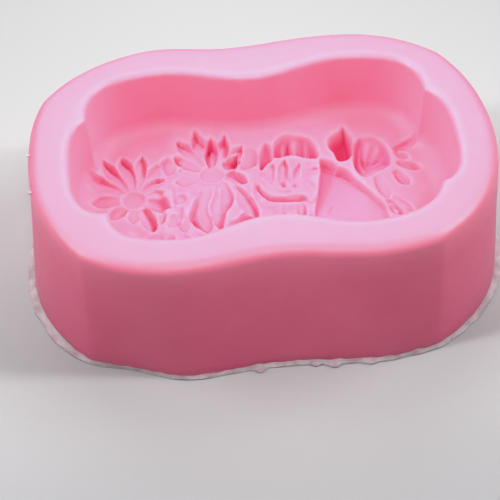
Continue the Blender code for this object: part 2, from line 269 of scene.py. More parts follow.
class Relief:
    """How far each plan point is sunk below the smooth floor, in millimetres."""

    def __init__(self, x, y):
        self.x, self.y = x, y
        self.depth = np.zeros_like(x)

    def sink(self, depth):
        self.depth = np.maximum(self.depth, depth)

    def petal(self, start, tip, width, depth, tilt=0.0, bow=0.0):
        """A pointed furrow from start to tip.

        tilt makes one side deeper (positive: the left of its run) and bow bends it
        to the left.
        """
        run = np.subtract(tip, start)
        length = math.hypot(*run)
        along = ((self.x - start[0]) * run[0] + (self.y - start[1]) * run[1]) / length ** 2
        aside = ((self.y - start[1]) * run[0] - (self.x - start[0]) * run[1]) / length
        share = np.clip(along, 0, 1)
        aside = aside - bow * 4 * share * (1 - share)
        opening = np.sin(math.pi / 2 * np.minimum(share / PETAL_BROAD, 1))
        swelling = PETAL_ROOT + (1 - PETAL_ROOT) * opening
        closing = 1 - (np.maximum(share - PETAL_BROAD, 0) / (1 - PETAL_BROAD)) ** 2.2
        half = width / 2 * swelling * closing
        place = np.clip(aside / np.maximum(half, 0.2), -1, 1)
        edge = 0.34 + 0.8 * np.maximum(-tilt * place, 0)
        inside = smoothstep((half - np.abs(aside)) / edge + 0.5) * smoothstep(along / 0.15 + 0.5)
        inside = inside * smoothstep((1 - along) * length / 0.5 + 0.5)
        vein = 1 - 0.10 * np.exp(-(place / 0.25) ** 2)
        falling = PETAL_SHALLOW + (1 - PETAL_SHALLOW) * share
        self.sink(depth * falling * (1 + tilt * place) * vein * inside)

    def inside_of(self, outline):
        """Distance inside a closed run of points, negative outside."""
        start = np.asarray(outline)
        run = np.roll(start, -1, 0) - start
        best = np.full(self.x.shape, np.inf)
        crossings = np.zeros(self.x.shape, int)
        for (ax, ay), (rx, ry) in zip(start, run):
            px, py = self.x - ax, self.y - ay
            along = np.clip((px * rx + py * ry) / (rx * rx + ry * ry + 1e-12), 0, 1)
            best = np.minimum(best, (px - along * rx) ** 2 + (py - along * ry) ** 2)
            if ry:
                crossings += ((py >= 0) != (py >= ry)) & (px < rx * py / ry)
        return np.where(crossings % 2 == 1, 1, -1) * np.sqrt(best)

    def hollow(self, outline, depth, edge=0.5):
        """A recess with the depth (a number or one value for each point) inside an outline."""
        self.sink(depth * smoothstep(self.inside_of(spline(outline)) / edge + 0.5))

    def lower(self, outline, depth, edge=0.5):
        """The same as a hollow, but added to what is there; a negative depth raises."""
        self.depth = self.depth + depth * smoothstep(self.inside_of(spline(outline)) / edge + 0.5)

    def slope(self, start, end, low, high):
        """Values that run from low at start to high at end and stay level past them."""
        run = np.subtract(end, start)
        share = ((self.x - start[0]) * run[0] + (self.y - start[1]) * run[1]) / (run @ run)
        return low + (high - low) * np.clip(share, 0, 1)

    def press(self, points, width, depth):
        """A rounded line pressed in along an open curve, fading at its ends."""
        path = spline(points, closed=False)
        best = np.full(self.x.shape, np.inf)
        place = np.zeros(self.x.shape)
        for i, (a, b) in enumerate(zip(path[:-1], path[1:])):
            run = b - a
            along = np.clip(((self.x - a[0]) * run[0] + (self.y - a[1]) * run[1]) / (run @ run + 1e-12), 0, 1)
            gap = np.hypot(self.x - a[0] - along * run[0], self.y - a[1] - along * run[1])
            place = np.where(gap < best, (i + along) / (len(path) - 1), place)
            best = np.minimum(best, gap)
        fade = smoothstep(np.minimum(place, 1 - place) / 0.15 + 0.2)
        self.depth = self.depth + depth * fade * np.exp(-(best / (width / 2)) ** 2)

    def swell(self, centre, size, height):
        """A rounded rise, added to what is there; a negative height is a dimple."""
        reach = ((self.x - centre[0]) / size[0]) ** 2 + ((self.y - centre[1]) / size[1]) ** 2
        self.depth = self.depth - height * np.exp(-reach * 1.5)

    def disc(self, centre, radius, depth):
        """The middle of a daisy: a shallow dish with a fine ring at its border."""
        reach = np.hypot(self.x - centre[0], self.y - centre[1])
        inside = smoothstep((radius - reach) / 0.45 + 0.5)
        self.depth = self.depth * (1 - inside) + inside * (depth - 0.3 * (reach / radius) ** 2)
        self.depth = self.depth - 0.25 * np.exp(-((reach - radius - 0.35) / 0.3) ** 2)


# Petals of the two daisies: (tip x, tip y, width, depth, tilt, bow)
LEFT_DAISY = (-27.6, 2.2)
LEFT_PETALS = [
    (-33.6, 14.2, 3.0, 1.7, -0.35, 0.2), (-29.6, 15.0, 3.5, 1.6, -0.35, -0.2),
    (-25.1, 14.9, 3.0, 1.3, -0.35, 0.0), (-20.9, 12.7, 2.6, 1.0, 0.3, 0.0),
    (-20.5, 7.9, 3.4, 1.4, 0.7, 0.3), (-20.9, 3.6, 2.6, 1.0, 0.3, 0.0),
    (-19.8, -1.0, 4.2, 3.6, -0.3, 0.2), (-23.9, -7.6, 3.3, 2.4, 0.5, 0.3),
    (-28.0, -5.0, 2.4, 1.2, 0.3, 0.0), (-32.9, -3.0, 3.0, 1.8, 0.3, 0.0),
    (-36.8, 2.2, 3.3, 1.3, 0.3, 0.0), (-38.6, 9.2, 3.6, 1.6, -0.6, -0.9)]
CENTRE_DAISY = (-10.3, 7.6)
CENTRE_PETALS = [
    (-18.2, 14.0, 3.0, 2.0, 0.5, 0.0), (-17.2, 18.9, 3.1, 1.6, -0.4, 0.0),
    (-13.1, 20.6, 3.3, 2.0, -0.2, 0.0), (-9.6, 18.4, 3.0, 3.8, 0.2, 0.0),
    (-6.5, 18.4, 2.9, 2.1, -0.2, -0.3), (-3.0, 15.4, 2.8, 1.8, -0.2, -0.3),
    (-2.9, 4.4, 3.0, 2.4, 0.3, 0.3), (-18.4, 6.1, 3.2, 0.9, 0.7, 0.0),
    (-17.6, 9.6, 2.8, 0.6, -0.4, 0.0)]


def daisy(relief, centre, radius, petals):
    reach = np.hypot(relief.x - centre[0], relief.y - centre[1])
    relief.sink(0.45 * smoothstep((radius * 1.7 - reach) / 1.4))
    for x, y, width, depth, tilt, bow in petals:
        run = np.subtract((x, y), centre)
        start = centre + run / math.hypot(*run) * radius * 0.8
        relief.petal(start, (x, y), width, depth, tilt, bow)
    relief.disc(centre, radius, 1.15)


def long_petals(relief):
    """The three long petals that hang from the centre daisy towards the front."""
    left = [(-11.4, 4.8), (-13.2, 2.6), (-14.8, -0.6), (-16.1, -3.6), (-15.9, -5.6), (-14.4, -7.6),
            (-12.7, -9.3), (-11.6, -7.8), (-11.5, -4.8), (-12.2, -2.4), (-11.3, 0.4), (-10.5, 3.4)]
    relief.hollow(left, relief.slope((-11, 4), (-14, -8), 0.3, 2.0)
                  + relief.slope((-12, -2), (-16, -3), -0.3, 0.7))
    relief.press([(-15.7, -4.0), (-14.4, -6.2), (-12.9, -8.2)], 0.8, 0.7)
    right = [(-9.6, 4.6), (-10.3, 1.2), (-11.5, -2.2), (-11.2, -6.0), (-9.8, -9.2), (-9.1, -6.8),
             (-8.4, -4.0), (-7.0, -2.2), (-6.2, 0.8), (-7.0, 3.4), (-8.2, 5.0)]
    relief.hollow(right, relief.slope((-9, 4), (-10, -8), 0.5, 1.5)
                  + relief.slope((-10, -1), (-7, -2), -0.2, 1.2))
    relief.press([(-9.2, 3.4), (-9.4, 0.0), (-9.9, -3.8)], 1.0, -0.35)
    relief.petal((-6.2, 3.6), (-2.2, -6.8), 3.4, 2.2, tilt=0.6, bow=0.5)
    relief.hollow([(-8.4, -7.6), (-6.2, -6.2), (-4.0, -4.6), (-2.4, -5.0), (-1.7, -7.2), (-3.8, -8.6)],
                  relief.slope((-8, -7), (-2.6, -6), 0.5, 2.6))


def between_daisies(relief):
    relief.hollow([(-21.0, 12.6), (-19.6, 13.7), (-18.0, 12.2), (-18.4, 9.6), (-19.8, 8.9), (-20.8, 10.4)],
                  relief.slope((-18, 12), (-21, 11), 0.5, 1.5), edge=0.9)
    relief.hollow([(-19.0, 0.2), (-18.2, 2.2), (-16.8, 2.2), (-16.4, 0.6), (-17.6, -0.2)], 0.8, edge=0.8)
    relief.press([(-20.4, -1.0), (-19.4, -1.1), (-18.8, -1.2)], 0.6, 0.8)
    relief.press([(-19.0, 4.2), (-18.8, 2.0), (-18.9, -1.0)], 0.6, 0.4)
    relief.petal((-17.8, -1.4), (-20.6, -7.0), 3.2, 1.2, tilt=0.5)
    relief.petal((-18.0, -2.6), (-17.2, -8.6), 2.6, 1.0, tilt=-0.5)
    relief.petal((-21.6, -2.0), (-22.4, -5.4), 2.0, 1.6, tilt=0.4)
    relief.swell((-20.4, -2.8), (0.7, 1.0), 0.9)


def torn_petal(relief):
    """A deep petal of the centre daisy with a ragged right side, and the recess beside it."""
    relief.hollow([(-7.9, 10.8), (-7.6, 12.2), (-6.0, 12.9), (-5.0, 13.6), (-4.1, 13.9), (-4.4, 12.6),
                   (-3.8, 11.6), (-4.4, 10.4), (-4.9, 9.2), (-5.6, 8.3), (-7.2, 9.0)],
                  relief.slope((-8.2, 10.6), (-4.6, 11.6), 1.4, 4.2), edge=0.4)
    relief.hollow([(-3.9, 9.2), (-4.0, 13.2), (-2.6, 14.6), (-0.9, 14.2), (-0.1, 12.4), (-0.5, 9.6),
                   (-2.2, 8.6)],
                  relief.slope((-2, 15.0), (-2, 9.6), 0.3, 2.3), edge=0.9)


def carnation(relief):
    """A fan of frilled petals that slopes down to the edge of the rose."""
    relief.hollow([(0.4, 7.7), (0.3, 10.4), (1.0, 13.4), (2.0, 15.4), (3.1, 14.6), (3.4, 12.0), (2.8, 10.0),
                   (1.6, 8.8)], relief.slope((2.2, 15.6), (0.9, 9.6), 0.8, 4.4), edge=0.6)
    fan = [(3.9, 11.0), (3.8, 13.8), (4.8, 16.0), (6.8, 17.3), (9.2, 17.0), (11.6, 15.8), (12.8, 13.0),
           (12.7, 9.8), (9.8, 10.4), (6.8, 11.2)]
    frill = 0.45 * np.cos((relief.x - 6.9) * 2.1) + 0.12 * np.cos((relief.x - 5.2) * 4.9)
    ledge = smoothstep((17.2 - relief.y) / 2.4)
    relief.hollow(fan, relief.slope((8, 17.4), (7.4, 12.6), 0.9, 5.0) + frill * ledge, edge=0.8)
    relief.press([(7.2, 16.8), (6.8, 14.4), (6.8, 11.9)], 1.0, 1.0)
    relief.press([(3.7, 15.6), (3.6, 13.4), (3.5, 11.4)], 0.8, -0.5)


ROSE = [(-1.5, 5.8), (0.4, 7.7), (2.8, 9.9), (4.8, 11.2), (6.5, 11.3), (7.1, 10.8), (8.0, 11.3),
        (10.0, 10.3), (12.0, 9.2), (13.2, 9.0), (13.1, 6.4), (12.4, 3.8), (11.8, 1.0), (11.4, -1.2),
        (10.0, -3.0), (8.8, -1.4), (6.4, -0.6), (3.6, -0.8), (1.5, -0.4), (0.3, 0.8), (-0.6, 3.0)]


def rose(relief):
    """A folded flower that stands higher than what lies round it."""
    relief.hollow([(-1.4, 3.8), (0.0, 1.4), (1.4, 0.4), (6.0, 0.2), (9.6, -0.8), (11.6, -3.4), (10.6, -8.6),
                   (0.0, -9.0), (-1.9, -4.0)], 0.9, edge=1.2)
    relief.lower(ROSE, -1.0, edge=0.6)
    relief.swell((6.2, 5.6), (5.5, 4.6), 1.1)
    relief.petal((4.4, 1.9), (5.7, 9.9), 2.4, 1.25, tilt=-0.5, bow=0.15)
    relief.petal((6.9, 1.2), (8.9, 8.7), 2.3, 0.95, tilt=0.5, bow=-0.1)
    relief.petal((1.6, 2.6), (3.0, 9.2), 2.2, 0.8, tilt=-0.5, bow=0.12)
    relief.petal((0.2, 2.8), (0.7, 7.0), 1.6, 0.5, tilt=-0.4)
    relief.petal((9.0, 4.4), (12.8, 6.6), 2.4, 0.7, tilt=0.4)
    relief.petal((9.0, 3.4), (11.4, -1.0), 2.4, 0.6, tilt=0.3)
    relief.petal((2.2, 1.4), (6.0, 0.4), 1.5, 0.4, tilt=0.3)
    relief.swell((4.6, 3.0), (0.5, 0.8), -1.5)
    relief.swell((7.1, 2.4), (0.4, 0.7), -0.8)
    relief.press([(6.6, 9.8), (6.2, 6.6), (5.7, 3.2)], 0.5, -0.7)
    relief.press([(4.0, 9.8), (3.3, 6.6), (2.8, 3.0)], 0.5, -0.7)
    relief.press([(9.6, 9.4), (9.0, 6.8), (8.4, 4.0)], 0.5, -0.7)
    relief.press([(-0.2, 5.4), (1.8, 2.4), (4.4, 1.2), (7.2, 0.6)], 0.5, -0.5)
    relief.press([(-1.0, 3.4), (-0.2, 1.4), (0.7, 0.0), (1.6, -0.9), (5.0, -1.5), (9.0, -1.8)], 0.7, 1.3)
    relief.press([(-1.0, -0.6), (0.8, -2.4), (3.6, -3.2), (7.0, -3.2)], 1.4, -0.7)
    relief.petal((7.8, -2.2), (7.2, -7.0), 2.4, 2.4, tilt=0.3)
    relief.petal((3.6, -2.8), (1.4, -7.2), 3.2, 1.9, tilt=0.3)
    relief.petal((5.2, -3.4), (5.2, -8.0), 1.8, 1.6)
    relief.petal((9.2, -3.2), (11.0, -8.0), 2.4, 1.7)
    relief.petal((0.2, -0.2), (-1.0, -6.0), 2.0, 0.9, tilt=0.5)


SLIT = [(13.3, 7.9), (14.8, 7.3), (16.4, 6.3), (18.2, 5.4), (19.4, 3.6), (20.8, 1.2), (22.4, -1.4),
        (23.7, -3.8), (24.9, -5.8), (25.2, -7.6)]


def basin(relief):
    """A smooth basin under a thin step that runs along its upper edge."""
    outline = SLIT + [(24.6, -12.6), (18.0, -15.6), (12.0, -13.0), (10.2, -7.0), (11.0, -2.6), (12.0, 1.0),
                      (12.8, 4.4)]
    away = np.maximum(relief.inside_of(spline(outline)), 0)
    floor = 1.3 + relief.slope((20, -4), (12.5, 3), 0.0, 1.3) + 0.5 * (1 - np.exp(-away / 4))
    relief.hollow(outline, floor, edge=0.45)
    relief.press(SLIT, 0.45, 0.3)
    relief.press(SLIT[2:5], 0.7, 0.4)
    relief.press([(14.4, -3.2), (14.0, -4.4), (13.2, -5.6)], 0.6, 0.25)
    relief.hollow([(13.1, 8.6), (14.4, 8.9), (15.8, 7.9), (16.6, 6.5), (15.4, 5.8), (13.4, 6.0)], 2.4,
                  edge=0.6)


def bud(relief):
    outline = [(16.7, 10.6), (15.8, 12.8), (16.2, 15.0), (17.7, 16.5), (18.9, 17.2), (19.6, 18.4),
               (20.4, 17.2), (21.0, 15.2), (21.0, 12.6), (20.5, 10.0), (19.2, 8.2), (17.4, 8.0), (16.9, 9.3)]
    away = np.maximum(relief.inside_of(spline(outline)), 0)
    depth = relief.slope((20.8, 17.2), (17.0, 12.6), 4.0, 7.2) * smoothstep(away / 1.8 + 0.4)
    relief.hollow(outline, depth, edge=0.5)
    relief.swell((16.2, 9.9), (0.7, 0.9), 0.4)


def blossom(relief):
    """A round flower with fine lines that run out from its lower left."""
    outline = [(20.8, 9.6), (21.5, 12.2), (22.8, 14.2), (24.8, 14.7), (26.8, 13.6), (28.2, 11.2), (28.5, 8.4),
               (28.0, 5.8), (26.2, 4.4), (24.2, 3.4), (22.4, 2.5), (21.0, 4.4), (20.6, 6.8)]
    reach = np.hypot(relief.x - 22.6, relief.y - 6.4)
    bearing = np.arctan2(relief.y - 6.4, relief.x - 22.6)
    lines = 0.14 * np.cos(bearing * 17) * smoothstep((reach - 1.2) / 2) * smoothstep((8.4 - reach) / 2)
    relief.hollow(outline, relief.slope((24.9, 14.8), (24.0, 9.6), 0.5, 3.3)
                  - relief.slope((24.2, 9.0), (25.0, 3.6), 0.0, 1.9) + lines, edge=0.8)
    relief.press([(21.9, 10.6), (21.9, 8.2), (22.4, 5.4)], 1.0, -0.6)
    relief.press([(22.4, 3.0), (23.6, 3.5), (25.0, 4.1)], 0.6, 0.5)


# Scraps that stand up beside the basin and between the daisies: place, size, height
SCRAPS = [((25.3, -4.4), (0.8, 1.3), 0.45), ((26.6, -6.3), (1.2, 0.7), 0.45),
          ((27.6, -8.0), (0.7, 1.1), 0.4), ((24.6, -2.8), (0.5, 0.9), 0.35),
          ((-19.2, -3.0), (0.9, 0.6), 0.5), ((-20.9, -4.6), (0.7, 1.1), 0.45),
          ((-18.2, -5.0), (0.6, 1.0), 0.4), ((-3.2, 13.4), (0.5, 0.9), 0.5)]


def sprig(relief):
    """Small leaves at the right end, and the scraps."""
    relief.petal((29.8, 9.9), (35.5, 11.7), 2.5, 2.3, tilt=-0.3)
    relief.petal((29.9, 9.2), (32.4, 6.6), 1.8, 1.3)
    relief.petal((29.8, 5.9), (34.6, 3.4), 2.3, 2.4, tilt=-0.4)
    relief.petal((28.8, 3.4), (31.2, -1.2), 2.4, 1.9, tilt=-0.3)
    relief.petal((24.6, 2.4), (26.4, -4.6), 2.6, 0.9, tilt=-0.6)
    relief.petal((25.8, -4.6), (28.2, -9.6), 2.4, 1.7, tilt=0.3)
    relief.petal((27.2, -4.2), (30.6, -9.0), 2.2, 0.8)
    for place, size, height in SCRAPS:
        relief.swell(place, size, height)


# Leaves along the front of the floor: (base x, base y, tip x, tip y, width, depth)
FRONT_LEAVES = [
    (-22.6, -8.6, -28.4, -14.6, 3.4, 1.6), (-20.4, -9.4, -22.0, -17.2, 3.2, 2.0),
    (-18.2, -9.0, -15.0, -16.4, 3.2, 1.6), (-2.6, -9.0, -7.0, -14.2, 3.0, 1.6),
    (0.4, -9.4, -1.4, -15.4, 3.0, 2.0), (3.4, -9.6, 5.4, -15.2, 3.0, 1.8),
    (26.6, -10.8, 23.4, -17.6, 3.0, 1.8), (28.8, -10.4, 29.6, -16.6, 3.0, 1.6)]


def relief_depth(x, y):
    relief = Relief(x, y)
    for bx, by, tx, ty, width, depth in FRONT_LEAVES:
        relief.petal((bx, by), (tx, ty), width, depth, tilt=0.4)
    daisy(relief, LEFT_DAISY, 2.4, LEFT_PETALS)
    daisy(relief, CENTRE_DAISY, 2.5, CENTRE_PETALS)
    torn_petal(relief)
    long_petals(relief)
    between_daisies(relief)
    carnation(relief)
    bud(relief)
    blossom(relief)
    sprig(relief)
    basin(relief)
    rose(relief)
    among = smoothstep((14 - y) / 4) * smoothstep((y + 14) / 4) * smoothstep((31 - np.abs(x)) / 4)
    plain = smoothstep(1 - relief.depth / 0.8) * smoothstep((13 - x) / 3)
    lumps = waviness(np.stack([x, y, 0 * x], -1), 11, 4.5, 0.28)
    return relief.depth + among * plain * (0.15 + lumps)


# ----------------------------------------------------------------- the skin

class Rings:
    """The casting's surface, grown outwards from the border of the floor grid."""

    def __init__(self, points, border):
        self.points = [points]
        self.count = len(points)
        self.border = np.array(border)
        self.faces = []

    def add(self, ring):
        new = np.arange(len(ring)) + self.count
        self.points.append(ring)
        self.count += len(ring)
        old = self.border
        self.faces.append(np.stack([old, new, np.roll(new, -1), np.roll(old, -1)], -1))
        self.border = new


def side_angles(outline, inset, cells_x, cells_y):
    """The direction of each border point of the grid, evenly spaced along each of four sides."""
    corner = math.atan2(PLAQUE_HALF_WIDTH * 0.78, PLAQUE_HALF_LENGTH * 0.9)
    dense = np.linspace(-corner, 2 * math.pi - corner, 1440)
    points = outline.offset(dense, -inset)
    length = np.concatenate([[0], np.cumsum(np.hypot(*np.diff(points, axis=0).T))])
    turns = [-corner, corner, math.pi - corner, math.pi + corner, 2 * math.pi - corner]
    corners = np.interp(turns, dense, length)
    at = [np.linspace(a, b, cells, endpoint=False)
          for a, b, cells in zip(corners[:-1], corners[1:], (cells_y, cells_x, cells_y, cells_x))]
    return np.interp(np.concatenate(at), length, dense)


def border_place(u, v):
    """Where the ray from the middle through (u, v) leaves the unit square, 0 to 4, anticlockwise."""
    m = np.maximum(np.maximum(np.abs(u), np.abs(v)), 1e-9)
    u, v = u / m, v / m
    one = 1 - 1e-9
    on_side = [(u >= one) & (v < one), (v >= one) & (u > -one), (u <= -one) & (v > -one)]
    side = np.select(on_side, [0, 1, 2], 3)
    along = [(v + 1) / 2, (1 - u) / 2, (1 - v) / 2]
    return side + np.select([side == 0, side == 1, side == 2], along, (u + 1) / 2)


def floor_grid(outline, inset):
    """The floor's points in plan, its faces, and its border with the border's directions."""
    cells_x = int(2 * PLAQUE_HALF_LENGTH / FLOOR_CELL)
    cells_y = int(2 * (PLAQUE_HALF_WIDTH - PLAQUE_WAIST) / FLOOR_CELL)
    u, v = np.meshgrid(np.linspace(-1, 1, cells_x + 1), np.linspace(-1, 1, cells_y + 1), indexing="ij")
    index = np.arange(u.size).reshape(u.shape)
    border = np.concatenate([index[-1, :-1], index[:0:-1, -1], index[0, :0:-1], index[:-1, 0]])
    angles = side_angles(outline, inset, cells_x, cells_y)
    straight = np.stack([u * INNER_HALF_LENGTH, v * INNER_HALF_WIDTH], -1).reshape(-1, 2)
    pull = outline.offset(angles, -inset) - straight[border]
    place = border_place(u, v).ravel()
    at = place[border]
    order = np.argsort(at)
    share = np.maximum(np.abs(u), np.abs(v)).ravel() ** 3
    moved = [np.interp(place, at[order], pull[order, axis], period=4) * share for axis in (0, 1)]
    plan = straight + np.stack(moved, -1)
    faces = np.stack([index[:-1, :-1], index[1:, :-1], index[1:, 1:], index[:-1, 1:]], -1).reshape(-1, 4)
    return plan, faces, border, angles


def flare(z):
    return BASE_FLARE * (1 - z / HEIGHT)


def level(points, z):
    return np.column_stack([points, np.full(len(points), z)])


def local_contrast(depth, faces):
    """How much deeper (positive) or higher each point of the floor grid is than those near it."""
    width = faces[0, 1] - faces[0, 0]
    grid = depth.reshape(-1, width)
    blurred = grid.copy()
    for _ in range(14):
        padded = np.pad(blurred, 1, mode="edge")
        blurred = (padded[:-2, 1:-1] + padded[2:, 1:-1] + padded[1:-1, :-2] + padded[1:-1, 2:] + blurred) / 5
    return ((grid - blurred) / 0.30).ravel()


def casting():
    """The whole silicone casting as one closed mesh, with the painted shade and painted light that its
    material reads at each point.
    """
    cavity, outside = Outline(cavity_radius), Outline(outside_radius)
    fillet_start = CAVITY_DRAFT + FLOOR_FILLET
    plan, floor_faces, border, angles = floor_grid(cavity, fillet_start - FLOOR_FILLET * math.sin(GRID_TURN))
    from_start = np.clip(cavity.distance(plan) + fillet_start, 0, FLOOR_FILLET * 0.99)
    grid_z = FLOOR_Z + FLOOR_FILLET - np.sqrt(FLOOR_FILLET ** 2 - from_start ** 2)
    rings = Rings(np.column_stack([plan, grid_z]), border)
    for turn in np.linspace(GRID_TURN, FILLET_END, FILLET_RINGS + 1)[1:]:
        rings.add(level(cavity.offset(angles, FLOOR_FILLET * math.sin(turn) - fillet_start),
                        FLOOR_Z + FLOOR_FILLET * (1 - math.cos(turn))))
    wall_foot, wall_top = FLOOR_Z + FLOOR_FILLET, HEIGHT - LIP_RADIUS
    for share in np.linspace(0, 1, WALL_RINGS):
        plan_ring = cavity.offset(angles, -CAVITY_DRAFT * (1 - share))
        rings.add(level(plan_ring, wall_foot + (wall_top - wall_foot) * share))
    for turn in np.radians((18, 36, 54, 72, 90)):
        lip = cavity.offset(angles, LIP_RADIUS * (1 - math.cos(turn)))
        rings.add(level(lip, wall_top + LIP_RADIUS * math.sin(turn)))
    painted_lit = rings.count
    rim = outside.offset(angles, -RIM_EDGE_RADIUS)
    for share in (0.2, 0.4, 0.6, 0.8):
        rings.add(level(lip + (rim - lip) * share, HEIGHT))
    outwards = np.stack([np.cos(angles), np.sin(angles)], -1)

    def wall_ring(z, inset=0.0):
        shift = foot_shift(angles) * (1 - z / HEIGHT) ** 1.3
        return level(outside.offset(angles, flare(z) - inset) + outwards * shift[:, None], z)

    for turn in np.radians((90, 72, 54, 36, 18, 0)):
        z = HEIGHT - RIM_EDGE_RADIUS * (1 - math.sin(turn))
        rings.add(wall_ring(z, RIM_EDGE_RADIUS * (1 - math.cos(turn))))
    for share in np.linspace(0, 1, OUTSIDE_RINGS + 1)[1:]:
        rings.add(wall_ring((HEIGHT - RIM_EDGE_RADIUS) * (1 - share) + FOOT_EDGE * share))
    rings.add(wall_ring(0.12, 0.15))
    rings.add(wall_ring(0.0, 0.4))
    points = np.concatenate(rings.points)
    base = points[:, 2] <= 0
    inside = np.hypot(points[:, 0], points[:, 1]) < cavity.radius(np.arctan2(points[:, 1], points[:, 0]))
    relief_top = FLOOR_Z + RELIEF_TOP
    low = np.flatnonzero(inside & (points[:, 2] < relief_top))
    over_floor = smoothstep((relief_top - points[low, 2]) / RELIEF_FADE)
    sunk = np.zeros(len(points))
    sunk[low] = relief_depth(points[low, 0], points[low, 1]) * over_floor
    points[:, 2] -= sunk
    uneven = waviness(points, 3, 26, 0.10) + waviness(points, 4, 7, 0.025)
    sideways = points * (1, 1, 0) / np.maximum(np.hypot(points[:, 0], points[:, 1]), 1)[:, None]
    points += sideways * (uneven * ~base)[:, None]
    points[:, 2] += np.where(points[:, 2] > 1.0, waviness(points, 5, 30, 0.05), 0)
    faces = np.concatenate([floor_faces] + rings.faces)
    skin = build_mesh("mould_skin", points, faces, [int(i) for i in rings.border[::-1]])
    crevice = local_contrast(sunk[:len(plan)], floor_faces)
    # Painted shade: the deeper a point is sunk, and the narrower the crevice it lies in, the more of the
    # painted shade colour it takes
    painted_recess_shade = smoothstep((sunk - 0.6) / 5.4)
    painted_recess_shade[:len(plan)] += CREVICE_PAINTED_SHADE * np.clip(crevice, 0, 1)
    # Painted light: ridges of the relief, higher than the points near them, take a lighter colour
    painted_ridge_light = np.zeros(len(points))
    painted_ridge_light[:len(plan)] = RIDGE_PAINTED_LIGHT * np.clip(-crevice, 0, 1)
    # Painted light: lighter towards the top of the outside wall, and lighter up the cavity's walls than on
    # its floor, standing in for light from above and bounce light in the cavity
    painted_light = smoothstep((points[:, 2] - HEIGHT + 4) / 4) * 0.6
    painted_light[:len(plan)] = FLOOR_PAINTED_LIGHT
    near_floor = smoothstep((FLOOR_Z + 7 - points[len(plan):painted_lit, 2]) / 6)
    painted_light[len(plan):painted_lit] = 1 - (1 - FLOOR_PAINTED_LIGHT) * near_floor
    for name, values in (("sunk", np.clip(painted_recess_shade, 0, 1)), ("painted_ridge_light", painted_ridge_light), ("painted_light", painted_light)):
        attribute = skin.data.attributes.new(name, 'FLOAT', 'POINT')
        attribute.data.foreach_set("value", values.astype(np.float32))
    return skin


def ragged(angle, seed, waves, count=26):
    """A jagged run of values from 0 to 1 round the foot."""
    random = np.random.default_rng(seed)
    total = sum(np.sin(k * angle + random.uniform(0, 2 * math.pi)) * random.uniform(0.5, 1.0) / k ** 0.35
                for k in random.integers(*waves, size=count))
    return np.clip(0.5 + total / (0.28 * count), 0, 1)


# Where the flash reaches furthest: (direction in degrees, half-width in degrees, extra reach)
FLASH_TONGUES = [(186, 16, 1.1), (205, 10, 0.7), (352, 15, 0.7), (335, 12, 0.5), (90, 40, 0.5),
                 (262, 1.6, 1.0), (281, 1.2, 0.9), (286.5, 1.8, 1.1), (297, 1.4, 0.6), (222, 9, -0.5)]
FLASH_POINTS = 1500             # round the foot


def flash():
    """The thin torn skirt of silicone that crept out under the mould's foot."""
    angles = np.linspace(0, 2 * math.pi, FLASH_POINTS, endpoint=False)
    foot = Outline(outside_radius).offset(angles, flare(0))
    outwards = np.stack([np.cos(angles), np.sin(angles)], -1)
    foot = foot + outwards * foot_shift(angles)[:, None]
    reach = 0.15 + 0.55 * ragged(angles, 21, (9, 60)) + 0.35 * ragged(angles, 22, (60, 180)) ** 2
    frayed = 0.6 + 0.8 * ragged(angles, 23, (20, 90))
    for degrees, width, extra in FLASH_TONGUES:
        reach = reach + extra * np.exp(-(turn_from(angles, degrees) / width) ** 2) * frayed
    reach = np.maximum(reach, 0.06)
    climb = 0.25 + 1.1 * ragged(angles, 24, (12, 110)) ** 1.6
    curl = 0.12 + 0.5 * ragged(angles, 25, (10, 70)) * np.minimum(reach, 1)
    profile = [(-0.45, 0.05), (0.35 * reach, 0.02), (reach, 0.04 + 0.5 * curl), (reach + 0.04, 0.16 + curl),
               (0.6 * reach, 0.34 + 0.7 * curl), (0.07 + 0.15 * reach, 0.45 + 0.4 * climb),
               (0.05, 0.5 + 0.8 * climb), (-0.12, 0.5 + climb), (-0.5, 0.5 + 0.5 * climb)]
    rings = []
    for out, z in profile:
        lean = -BASE_FLARE / HEIGHT * np.broadcast_to(z, FLASH_POINTS)
        plan = foot + outwards * (np.broadcast_to(out, FLASH_POINTS) + lean)[:, None]
        rings.append(np.column_stack([plan, np.broadcast_to(z, FLASH_POINTS)]))
    points = np.concatenate(rings)
    index = np.arange(len(points)).reshape(len(profile), FLASH_POINTS)
    around = np.roll(index, -1, 1)
    faces = np.stack([index, around, np.roll(around, -1, 0), np.roll(index, -1, 0)], -1).reshape(-1, 4)
    return build_mesh("flash_skirt", points, faces)


# Torn scraps of silicone on the left edge of the rim: x, y, z, size
NUBS = [(-48.0, 3.3, 31.0, 0.36), (-47.8, -6.9, 30.6, 0.40)]
NUB_RINGS = 7
NUB_TURNS = 14


def nubs():
    """Small torn scraps, each a lumpy ball partly sunk in the edge of the rim."""
    ring, turn = np.meshgrid(np.arange(1, NUB_RINGS + 1), np.arange(NUB_TURNS), indexing="ij")
    polar, turn = ring * math.pi / (NUB_RINGS + 1), turn * 2 * math.pi / NUB_TURNS
    ball = np.stack([np.sin(polar) * np.cos(turn), np.sin(polar) * np.sin(turn), np.cos(polar)], -1)
    ball = np.concatenate([ball.reshape(-1, 3), [(0, 0, 1), (0, 0, -1)]])
    points, quads = [], []
    for n, (x, y, z, size) in enumerate(NUBS):
        lumpy = ball * (1 + waviness(ball, 31 + n, 1.1, 0.22))[:, None] * (1.3, 0.8, 0.7)
        points.append(lumpy * size + (x, y, z))
        index = np.arange(NUB_RINGS * NUB_TURNS).reshape(NUB_RINGS, NUB_TURNS) + n * len(ball)
        around = np.roll(index, -1, 1)
        sides = np.stack([index[:-1], index[1:], around[1:], around[:-1]], -1)
        quads.append(sides.reshape(-1, 4).tolist())
        top = n * len(ball) + NUB_RINGS * NUB_TURNS
        bottom = top + 1
        quads.append([[top, int(a), int(b)] for a, b in zip(index[0], around[0])])
        quads.append([[bottom, int(b), int(a)] for a, b in zip(index[-1], around[-1])])
    return build_mesh("torn_scraps", np.concatenate(points), sum(quads, []))


